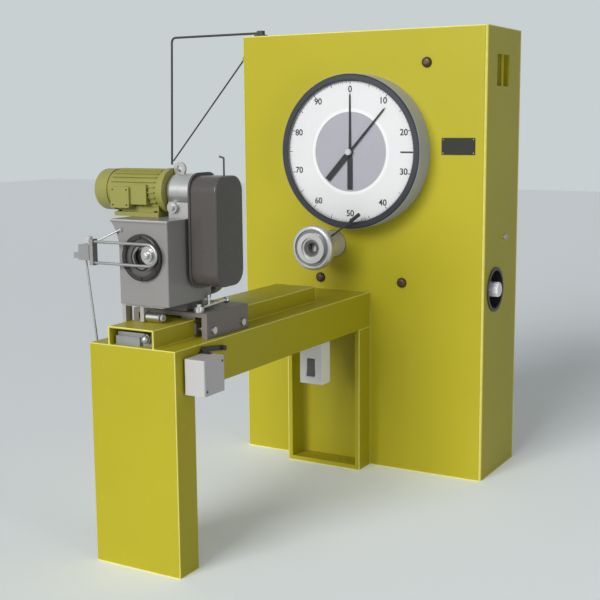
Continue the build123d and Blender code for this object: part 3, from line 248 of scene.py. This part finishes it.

# %% [markdown]
# ## Faces turned on a lathe
# The chucks, the hub, the flange and the dial drum were turned, so their tool marks are circles round
# one axis. The distance from that axis, taken from Object coordinates, feeds a noise that changes
# quickly, and the rings then lie round the true axis wherever the face is. Bands between two radii
# change the tone: on the chuck they are painted shade in its socket and its recessed groove, on the
# drum's outer wall a painted highlight, and on the flange lighter and darker rings.

# %% Turned finishes
def turned(name, colour, roughness, centre, along, metallic, bands=()):
    metal = Finish(name, roughness, metallic)
    axes = metal.coordinates()
    first, second = [axes[i] - centre[i] for i in range(3) if i != along]
    radius = (first * first + second * second).maths("SQRT")
    where = metal.node("ShaderNodeCombineXYZ", {}, {0: radius * 900.0, 1: axes[along] * 900.0})
    rings = metal.noise(1.0, 3.0, where)
    cloud = metal.noise(14.0, 4.0)
    ground = metal.mix(cloud, tinted(colour, 0.84), tinted(colour, 1.12))
    for inner, outer, factor in bands:
        inside = (radius > inner) * (radius < outer)
        ground = metal.mix(inside, ground, tinted(colour, factor))
    metal.colour(ground)
    metal.give("Roughness", roughness - 0.08 + rings * 0.18)
    metal.bump(rings, 0.00010, 0.7)
    return metal.material


# %% The axes that things were turned round
def middle(node):
    low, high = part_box(node)
    return (low + high) / 2


x_axis, y_axis = 0, 1
torsion_axis = middle("measuring_chuck")
dial_axis = middle("dial_housing")
flange_axis = middle("gearbox_flange")
motor_axis = middle("motor_rotor")
print("torsion axis at x", round(torsion_axis.x, 3), "z", round(torsion_axis.z, 3))

# %% Chuck, hub, drum, flange and adapter
# Painted shade: the chuck's centre socket and its recessed groove are darkened.
chuck_shade_bands = ((0.0, 0.0300, 0.45), (0.0515, 0.0635, 0.40))
# Painted highlight: the drum's outer wall is made much lighter than its dark front ring.
drum_highlight_band = ((0.2572, 0.30, 16.0),)
flange_bands = ((0.0, 0.022, 0.5), (0.022, 0.031, 4.5), (0.031, 0.036, 0.5), (0.036, 0.050, 2.4))
chuck_grey = turned("turned_chuck", (0.60, 0.598, 0.595), 0.34, torsion_axis, y_axis, 0.6, chuck_shade_bands)
hub_steel = turned("turned_hub", (0.70, 0.70, 0.70), 0.38, torsion_axis, y_axis, 0.4)
grip_grey = turned("turned_grip", (0.13, 0.125, 0.12), 0.42, torsion_axis, y_axis, 0.5)
drum_grey = turned("dial_drum_grey", (0.026, 0.028, 0.037), 0.34, dial_axis, y_axis, 0.15, drum_highlight_band)
flange_dark = turned("turned_flange", (0.060, 0.055, 0.052), 0.32, flange_axis, y_axis, 0.6,
                     flange_bands)
adapter_silver = turned("turned_adapter", (0.55, 0.54, 0.53), 0.30, motor_axis, x_axis, 0.8)
print("bands on chuck, drum and flange:", len(chuck_shade_bands), len(drum_highlight_band), len(flange_bands))

# %% [markdown]
# ## Plastics, rubber and glass
# Moulded plastic has a very fine grain, and the belt's rubber a coarser one. The glass is a thin clear
# disc: mostly see-through, with a faint film of dust and a sharp reflection.

# %% Moulded and clear finishes
def moulded(name, colour, roughness, grain=700.0, specular=0.5):
    plastic = Finish(name, roughness, specular=specular)
    slow = plastic.noise(9.0, 3.0)
    plastic.colour(plastic.mix(slow, tinted(colour, 0.94), tinted(colour, 1.04)))
    plastic.give("Roughness", roughness - 0.05 + slow * 0.1)
    plastic.bump(plastic.noise(grain), 0.00008)
    return plastic.material


def clear_glass(name):
    glass = Finish(name, 0.04)
    film = glass.noise(5.0, 3.0)
    glass.colour((0.30, 0.32, 0.33, 1.0))
    glass.give("Alpha", 0.025 + film * 0.02)
    return glass.material


white_plastic = moulded("white_plastic", (0.53, 0.515, 0.515), 0.38)
# A lighter copy of the white plastic: painted light on the low switch box, which stands in the shadow
# under the bed; the range knob uses it too.
brightened_white = moulded("white_plastic_painted_lighter", (0.93, 0.93, 0.95), 0.36)
black_plastic = moulded("black_plastic", (0.012, 0.012, 0.013), 0.45, specular=0.2)
rocker_grey = moulded("rocker_grey", (0.13, 0.13, 0.13), 0.42)
rubber = moulded("belt_rubber", (0.025, 0.025, 0.026), 0.75, 260.0)
dial_glass = clear_glass("dial_glass_clear")
plastics = (white_plastic, brightened_white, black_plastic, rocker_grey, rubber, dial_glass)
print("plastics, rubber and glass:", [plastic.name for plastic in plastics])

# %% [markdown]
# ## The printed dial
# The scale is printed flat on white sheet, so it belongs in the material and not in the mesh. Each
# point's distance from the pointer axis and its turn round it come from Object coordinates. A tick is
# where the turn is close to a whole division and the distance lies between two radii.

# %% Where the dial is, and the radii of its print
face_low, face_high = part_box("dial_face")
dial_x = (face_low.x + face_high.x) / 2
dial_z = (face_low.z + face_high.z) / 2
face_y = face_low.y
inner_disc = 0.132
bright_border = 0.012
scale_radius = 0.2345
scale_line = 0.0009
divisions = ((200, 0.2290, 0.0005), (100, 0.2265, 0.0007), (20, 0.2225, 0.0013))
index_from, index_to, index_half_width = 0.184, 0.229, 0.0030
print("dial axis at", round(dial_x, 4), round(dial_z, 4), "face at", round(face_y, 4))


# %% Scale, rings and white ground
def dial_print():
    sheet = Finish("dial_print", 0.42, coat=0.1)
    x, _, z = sheet.coordinates()
    across, upward = x - dial_x, z - dial_z
    radius = (across * across + upward * upward).maths("SQRT")
    turn = across.maths("ARCTAN2", upward) / (2 * math.pi)

    def band(inner, outer):
        return (radius > inner) * (radius < outer)

    def ticks(count, inner, half_width):
        off = (turn * count + 0.5).maths("FRACT") - 0.5
        distance = off.maths("ABSOLUTE") * radius * (2 * math.pi / count)
        return band(inner, scale_radius) * (distance < half_width)

    ink = band(scale_radius, scale_radius + scale_line)
    for count, inner, half_width in divisions:
        ink = ink | ticks(count, inner, half_width)
    level = upward.maths("ABSOLUTE") < index_half_width
    ink = ink | band(index_from, index_to) * (across > 0) * level
    ink = ink | band(inner_disc - 0.0002, inner_disc + 0.0012) * 0.3
    mottle = sheet.noise(60.0, 3.0)
    white = sheet.mix(mottle, (0.77, 0.765, 0.77, 1.0), (0.80, 0.795, 0.80, 1.0))
    grey = sheet.mix(mottle, (0.385, 0.38, 0.425, 1.0), (0.41, 0.405, 0.45, 1.0))
    border = band(inner_disc, inner_disc + bright_border)
    outside = sheet.mix(border, white, (0.88, 0.875, 0.88, 1.0))
    ground = sheet.mix(radius < inner_disc, outside, grey)
    sheet.colour(sheet.mix(ink, ground, (0.03, 0.03, 0.035, 1.0)))
    return sheet.material


dial_white = dial_print()
print("dial print:", len(dial_white.node_tree.nodes), "nodes")

# %% [markdown]
# ## Each node gets its finish
# The CAD nodes keep their shapes: only the material slot changes. A table from finish to nodes is short
# and shows at a glance what is made of what. The count at the end tells if a node was forgotten.

# %% Finishes on the CAD nodes
finishes = {
    sheet_yellow: ["cabinet_floor", "rear_cover", "side_grip"],
    **{finish: [node] for node, finish in folded_finishes.items()},
    grey_enamel: ["belt_guard", "guard_plate"],
    gearbox_grey: ["gearbox"],
    cast_grey: ["pendulum_weight", "shaft_bearings", "input_pulley"],
    hanger_grey: ["front_hanger"],
    saddle_grey: ["saddle", "gib_strips"],
    motor_green: ["motor_body", "motor_cowl", "terminal_box"],
    bright_steel: ["driving_spindle", "pendulum_arm", "sector_gear", "pointer_arbor", "pointer_bridge",
                   "counter_shaft", "clamp_lever"],
    cross_steel: ["front_roller", "gib_screws", "motor_rotor", "panel_lock"],
    rod_steel: ["rail_tie_rod", "counter_rods", "counter_body"],
    chuck_grey: ["measuring_chuck", "driving_chuck"],
    hub_steel: ["measuring_shaft"],
    grip_grey: ["measuring_grip", "driving_grip"],
    drum_grey: ["dial_housing"],
    flange_dark: ["gearbox_flange"],
    adapter_silver: ["motor_adapter"],
    black_steel: ["side_port", "hand_lever", "overhead_arm", "overhead_stay", "bearing_beam",
                  "switch_bracket"],
    brown_steel: ["front_bolts"],
    plate_black: ["nameplate"],
    white_plastic: ["bed_switch_box", "reset_knob", "counter_knob"],
    # painted light: the lighter white lifts the low switch box out of the bed's shadow
    brightened_white: ["low_switch_box", "range_knob"],
    rocker_grey: ["rocker"],
    black_plastic: ["load_pointer", "max_pointer"],
    rubber: ["drive_belt"],
    dial_glass: ["dial_glass"],
    dial_white: ["dial_face"],
}
for material, names in finishes.items():
    for name in names:
        nodes[name].data.materials.clear()
        nodes[name].data.materials.append(material)
without = sorted(set(nodes) - {name for names in finishes.values() for name in names})
print(len(finishes), "finishes; nodes without a finish:", without)

# %% [markdown]
# ## Small pieces
# Screws, rivets and printed numbers are too small for the CAD model. Each is modelled once with
# Blender's own operators and copied, and the copies are joined. A finished piece keeps its place in its
# mesh, so its object stays at the origin.

# %% Helpers for modelling by hand
def start():
    if bpy.context.object and bpy.context.object.mode != "OBJECT":
        bpy.ops.object.mode_set(mode="OBJECT")
    bpy.ops.object.select_all(action="DESELECT")


def joined(pieces):
    start()
    for piece in pieces:
        piece.select_set(True)
    bpy.context.view_layer.objects.active = pieces[0]
    bpy.ops.object.join()
    return bpy.context.object


def settle(piece, name, body, material):
    start()
    piece.select_set(True)
    bpy.context.view_layer.objects.active = piece
    bpy.ops.object.transform_apply(location=True, rotation=True, scale=True)
    piece.name = name
    piece.data.materials.clear()
    piece.data.materials.append(material)
    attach(piece, body)
    print(name, len(piece.data.polygons), "faces")


# %% Helpers for placing copies
def copies(model, places):
    made = []
    for place in places:
        twin = model.copy()
        twin.data = model.data.copy()
        twin.matrix_world = place @ model.matrix_world
        bpy.context.collection.objects.link(twin)
        made.append(twin)
    bpy.data.objects.remove(model)
    return joined(made)


def aimed(point, direction):
    turn = Vector(direction).to_track_quat("Z", "Y").to_matrix().to_4x4()
    return Matrix.Translation(point) @ turn


def spread(low, high, margin, count):
    step = (high - low - 2 * margin) / (count - 1)
    return [low + margin + i * step for i in range(count)]


# %% [markdown]
# ## Dial numbers
# The ten main divisions are numbered. The photograph shows a short figure at each, too small to read,
# so plain tens stand there. Blender's text object is turned into a mesh at once, stood upright against
# the face and given a print's thickness of a fifth of a millimetre.

# %% Numbers round the dial
number_height = 0.029
number_radius = 0.2065
number_standoff = 0.00015
made_numbers = []
for step in range(10):
    angle = step * 2 * math.pi / 10
    x = dial_x + number_radius * math.sin(angle)
    z = dial_z + number_radius * math.cos(angle)
    start()
    bpy.ops.object.text_add(location=(x, face_y - number_standoff, z), rotation=(math.pi / 2, 0, 0))
    figure = bpy.context.object
    figure.data.body = str(step * 10)
    figure.data.size = number_height
    figure.data.align_x = "CENTER"
    figure.data.align_y = "CENTER"
    figure.data.extrude = 0.0001
    figure.data.offset = 0.0006
    bpy.ops.object.convert(target="MESH")
    made_numbers.append(bpy.context.object)
settle(joined(made_numbers), "dial_numbers", "stand", black_plastic)


# %% [markdown]
# ## Cap screws
# A cap screw is a short cylinder with a rounded rim and a round socket. The cylinder's top face is
# inset twice and pushed in for the socket, and a bevel rounds the rim. The gearbox flange has six, on a
# circle a little inside its rim, and the rear cover sixteen flat ones along its edges.

# %% One cap screw, upright at the origin
def cap_screw(radius, height, sides=24):
    start()
    bpy.ops.mesh.primitive_cylinder_add(vertices=sides, radius=radius, depth=height,
                                        location=(0, 0, height / 2))
    screw = bpy.context.object
    bpy.ops.object.mode_set(mode="EDIT")
    bpy.ops.mesh.select_all(action="DESELECT")
    bpy.ops.object.mode_set(mode="OBJECT")
    for face in screw.data.polygons:
        face.select = face.normal.z > 0.9
    bpy.ops.object.mode_set(mode="EDIT")
    bpy.ops.mesh.inset(thickness=radius * 0.12)
    bpy.ops.mesh.inset(thickness=radius * 0.36)
    bpy.ops.mesh.extrude_region_move(TRANSFORM_OT_translate={"value": (0, 0, -height * 0.55)})
    bpy.ops.object.mode_set(mode="OBJECT")
    bevel = screw.modifiers.new("rim", "BEVEL")
    bevel.width = radius * 0.1
    bevel.segments = 2
    bevel.angle_limit = math.radians(50)
    bpy.ops.object.modifier_apply(modifier="rim")
    return screw


# %% Screws on the gearbox flange
flange_low, flange_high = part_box("gearbox_flange")
rim_to_screw = 0.0072
screw_circle = (flange_high.x - flange_low.x) / 2 - rim_to_screw
flange_sunk = 0.0006
flange_places = []
for step in range(6):
    angle = math.radians(30 + 60 * step)
    x = flange_axis.x + screw_circle * math.cos(angle)
    z = flange_axis.z + screw_circle * math.sin(angle)
    flange_places.append(aimed((x, flange_low.y + flange_sunk, z), (0, -1, 0)))
screws = copies(cap_screw(0.0045, 0.0042), flange_places)
settle(screws, "flange_screws", "head", black_steel)

# %% Screws round the rear cover
cover_low, cover_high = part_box("rear_cover")
cover_margin = 0.019
cover_x = spread(cover_low.x, cover_high.x, cover_margin, 4)
cover_z = spread(cover_low.z, cover_high.z, cover_margin, 6)
rows = [(x, z) for x in cover_x for z in (cover_z[0], cover_z[-1])]
columns = [(x, z) for z in cover_z[1:-1] for x in (cover_x[0], cover_x[-1])]
cover_places = [aimed((x, cover_high.y, z), (0, 1, 0)) for x, z in rows + columns]
cover_screws = copies(cap_screw(0.0065, 0.0020), cover_places)
settle(cover_screws, "cover_screws", "stand", black_steel)

# %% [markdown]
# ## Bolts, lid screws and rivets
# The motor is held down by hexagon bolts, and the lids of the boxes by small screws. A hexagon bolt is
# a six-sided cylinder whose edges are bevelled, on a wider round washer. Rivets are flattened domes:
# the upper half of a sphere, scaled down before its place is applied.

# %% A hexagon bolt and a rivet, upright at the origin
def hexagon_bolt(radius, height, washer=0.001):
    start()
    bpy.ops.mesh.primitive_cylinder_add(vertices=6, radius=radius, depth=height,
                                        location=(0, 0, washer + height / 2))
    head = bpy.context.object
    bevel = head.modifiers.new("rim", "BEVEL")
    bevel.width = radius * 0.12
    bevel.segments = 2
    bpy.ops.object.modifier_apply(modifier="rim")
    start()
    bpy.ops.mesh.primitive_cylinder_add(vertices=28, radius=radius * 1.28, depth=washer,
                                        location=(0, 0, washer / 2))
    head.select_set(True)
    bpy.ops.object.join()
    bpy.ops.object.transform_apply(location=True, rotation=True, scale=True)
    return bpy.context.object


def rivet(radius, height):
    start()
    bpy.ops.mesh.primitive_uv_sphere_add(segments=20, ring_count=12, radius=radius, location=(0, 0, 0))
    head = bpy.context.object
    bpy.ops.object.mode_set(mode="EDIT")
    bpy.ops.mesh.select_all(action="SELECT")
    bpy.ops.mesh.bisect(plane_co=(0, 0, 0), plane_no=(0, 0, 1), use_fill=True, clear_inner=True)
    bpy.ops.object.mode_set(mode="OBJECT")
    head.scale = (1, 1, height / radius)
    bpy.ops.object.transform_apply(location=True, rotation=True, scale=True)
    bpy.ops.object.shade_smooth_by_angle(angle=math.radians(40))
    return head


# %% Bolts on the motor's feet
body_low, body_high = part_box("motor_body")
foot_height = 0.012
foot_margin = 0.034
foot_half_gauge = 0.0445
foot_places = []
for x in spread(body_low.x, body_high.x, foot_margin, 2):
    for side in (-1, 1):
        point = (x, motor_axis.y + side * foot_half_gauge, body_low.z + foot_height)
        foot_places.append(aimed(point, (0, 0, 1)))
foot_bolts = copies(hexagon_bolt(0.0042, 0.0034), foot_places)
settle(foot_bolts, "motor_foot_bolts", "head", black_steel)

# %% Rivets on the nameplate
plate_low, plate_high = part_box("nameplate")
rivet_margin = 0.0055
rivet_places = []
for x in spread(plate_low.x, plate_high.x, rivet_margin, 2):
    for z in spread(plate_low.z, plate_high.z, rivet_margin, 2):
        rivet_places.append(aimed((x, plate_low.y, z), (0, -1, 0)))
rivets = copies(rivet(0.0022, 0.0012), rivet_places)
settle(rivets, "nameplate_rivets", "stand", rod_steel)

# %% A raised rim round the nameplate
plate_middle = (plate_low + plate_high) / 2
rim_depth = 0.0006
rim_width = 0.0016
rim_inset = 0.0003
rim_place = (plate_middle.x, plate_low.y - rim_depth / 2, plate_middle.z)
start()
bpy.ops.mesh.primitive_cube_add(size=1, location=rim_place)
rim = bpy.context.object
rim.scale = (plate_high.x - plate_low.x - 2 * rim_inset, rim_depth,
             plate_high.z - plate_low.z - 2 * rim_inset)
bpy.ops.object.transform_apply(location=True, rotation=True, scale=True)
for face in rim.data.polygons:
    face.select = face.normal.y < -0.9
bpy.ops.object.mode_set(mode="EDIT")
bpy.ops.mesh.select_mode(type="FACE")
bpy.ops.mesh.inset(thickness=rim_width)
bpy.ops.mesh.extrude_region_move(TRANSFORM_OT_translate={"value": (0, 0.0004, 0)})
bpy.ops.object.mode_set(mode="OBJECT")
settle(rim, "nameplate_rim", "stand", plate_black)

# %% Lid screws on the bed's switch box
box_low, box_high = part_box("bed_switch_box")
lid_margin = 0.012
lid_top_margin = 0.014
lid_sunk = 0.0004
lid_corners = ((box_low.y + lid_margin, box_low.z + lid_margin),
               (box_high.y - lid_margin, box_high.z - lid_top_margin))
lid_places = [aimed((box_high.x - lid_sunk, y, z), (1, 0, 0)) for y, z in lid_corners]
lid_screws = copies(cap_screw(0.0032, 0.0018, 20), lid_places)
settle(lid_screws, "box_lid_screws", "stand", black_steel)

# %% Lid screws on the motor's terminal box
terminal_low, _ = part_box("terminal_box")
terminal_width, terminal_height = 0.064, 0.058
terminal_sunk = 0.0003
terminal_places = []
for x in spread(terminal_low.x, terminal_low.x + terminal_width, 0.008, 2):
    for z in spread(terminal_low.z, terminal_low.z + terminal_height, 0.008, 2):
        terminal_places.append(aimed((x, terminal_low.y + terminal_sunk, z), (0, -1, 0)))
terminal_screws = copies(cap_screw(0.0024, 0.0014, 18), terminal_places)
settle(terminal_screws, "terminal_screws", "head", black_steel)

# %% [markdown]
# ## Floor
# The floor is pale and matt, and it keeps the machine's shadow. A little emission lifts its tone, but
# only for rays that come from the camera, from a mirror or through glass, so that the lift never lights
# the machine. The same mask later shows a brighter sky than the one that gives light.

# %% A mask for what is looked at
def looked_at(tree):
    rays = tree.outputs("ShaderNodeLightPath")
    return rays["Is Camera Ray"] | rays["Is Glossy Ray"] | rays["Is Transmission Ray"]


# %% Floor
start()
bpy.ops.mesh.primitive_plane_add(size=30, location=(0, 0, 0))
floor = bpy.context.object
floor.name = "floor"
floor_paint = Finish("floor_paint", 0.9)
floor_paint.colour((0.86, 0.91, 0.94, 1.0))
lift_values = {"Color": (0.94, 1.0, 1.0, 1.0), "Strength": looked_at(floor_paint) * 0.13}
lift = floor_paint.node("ShaderNodeEmission", {}, lift_values)
painted = Wire(floor_paint, floor_paint.shader.outputs[0])
lifted = floor_paint.node("ShaderNodeAddShader", {}, {0: lift, 1: painted})
surface = floor_paint.tree.nodes["Material Output"].inputs["Surface"]
floor_paint.tree.links.new(lifted.socket, surface)
floor.data.materials.append(floor_paint.material)
print("floor of", [round(side, 1) for side in floor.dimensions[:2]], "m")


# %% [markdown]
# ## Light
# A wide, soft sun from the front left gives the shadow behind the machine. One strip of light brightens
# the cabinet's side, and one above gives the tops and the round metal their highlights. The sky fills
# the shadows with a weak light and shows itself brighter than it shines.

# %% Lamps
def lamp(kind, name, place, target, energy):
    start()
    bpy.ops.object.light_add(type=kind, location=place)
    made = bpy.context.object
    made.name = name
    made.data.energy = energy
    made.rotation_euler = (Vector(target) - Vector(place)).to_track_quat("-Z", "Y").to_euler()
    return made


def strip_lamp(name, place, target, energy, width, height):
    made = lamp("AREA", name, place, target, energy)
    made.data.shape = "RECTANGLE"
    made.data.size = width
    made.data.size_y = height
    return made


key = lamp("SUN", "key", (-0.75, -5.2, 2.65), (0.0, 0.0, 0.75), 2.6)
key.data.angle = math.radians(34)
strip = strip_lamp("side_strip", (3.2, -2.2, 1.3), (0.4, -0.1, 0.9), 16, 0.7, 2.6)
top = strip_lamp("top_strip", (0.1, -2.3, 3.0), (0.0, -1.0, 0.9), 7, 1.8, 0.4)
print("lamps:", {made.name: round(made.data.energy, 1) for made in (key, strip, top)})

# %% Sky
world = bpy.data.worlds.new("studio")
bpy.context.scene.world = world
world.use_nodes = True
for old in list(world.node_tree.nodes):
    world.node_tree.nodes.remove(old)
sky = Tree(world.node_tree)
lighting = sky.node("ShaderNodeBackground", {}, {"Color": (0.95, 0.98, 1.0, 1.0), "Strength": 0.16})
seen = sky.node("ShaderNodeBackground", {}, {"Color": (0.58, 0.63, 0.64, 1.0)})
blend = sky.node("ShaderNodeMixShader", {}, {0: looked_at(sky), 1: lighting, 2: seen})
horizon = world.node_tree.nodes.new("ShaderNodeOutputWorld")
world.node_tree.links.new(blend.socket, horizon.inputs["Surface"])
bpy.context.scene.view_settings.view_transform = "Standard"
print("sky:", len(world.node_tree.nodes), "nodes")

# %% [markdown]
# ## Camera
# The camera's place, turn, lens and shift were worked out from the straight edges of the cabinet and
# the bed in the photograph. Pixels turn into Blender's units through the sensor's width.

# %% Camera
camera_place = (1.8083, -3.5420, 1.2003)
azimuth = math.radians(29.76)
elevation = math.radians(8.77)
roll = math.radians(-0.45)
focal_pixels = 1101.5
picture = 600
centre_x = 303.0
centre_y = 291.6
start()
bpy.ops.object.camera_add(location=camera_place)
camera = bpy.context.object
turn = Matrix.Rotation(azimuth, 3, "Z") @ Matrix.Rotation(math.pi / 2 - elevation, 3, "X")
camera.rotation_euler = (turn @ Matrix.Rotation(roll, 3, "Z")).to_euler()
camera.data.lens = camera.data.sensor_width * focal_pixels / picture
camera.data.shift_x = (picture / 2 - centre_x) / picture
camera.data.shift_y = (centre_y - picture / 2) / picture
bpy.context.scene.camera = camera
print("lens", round(camera.data.lens, 2))
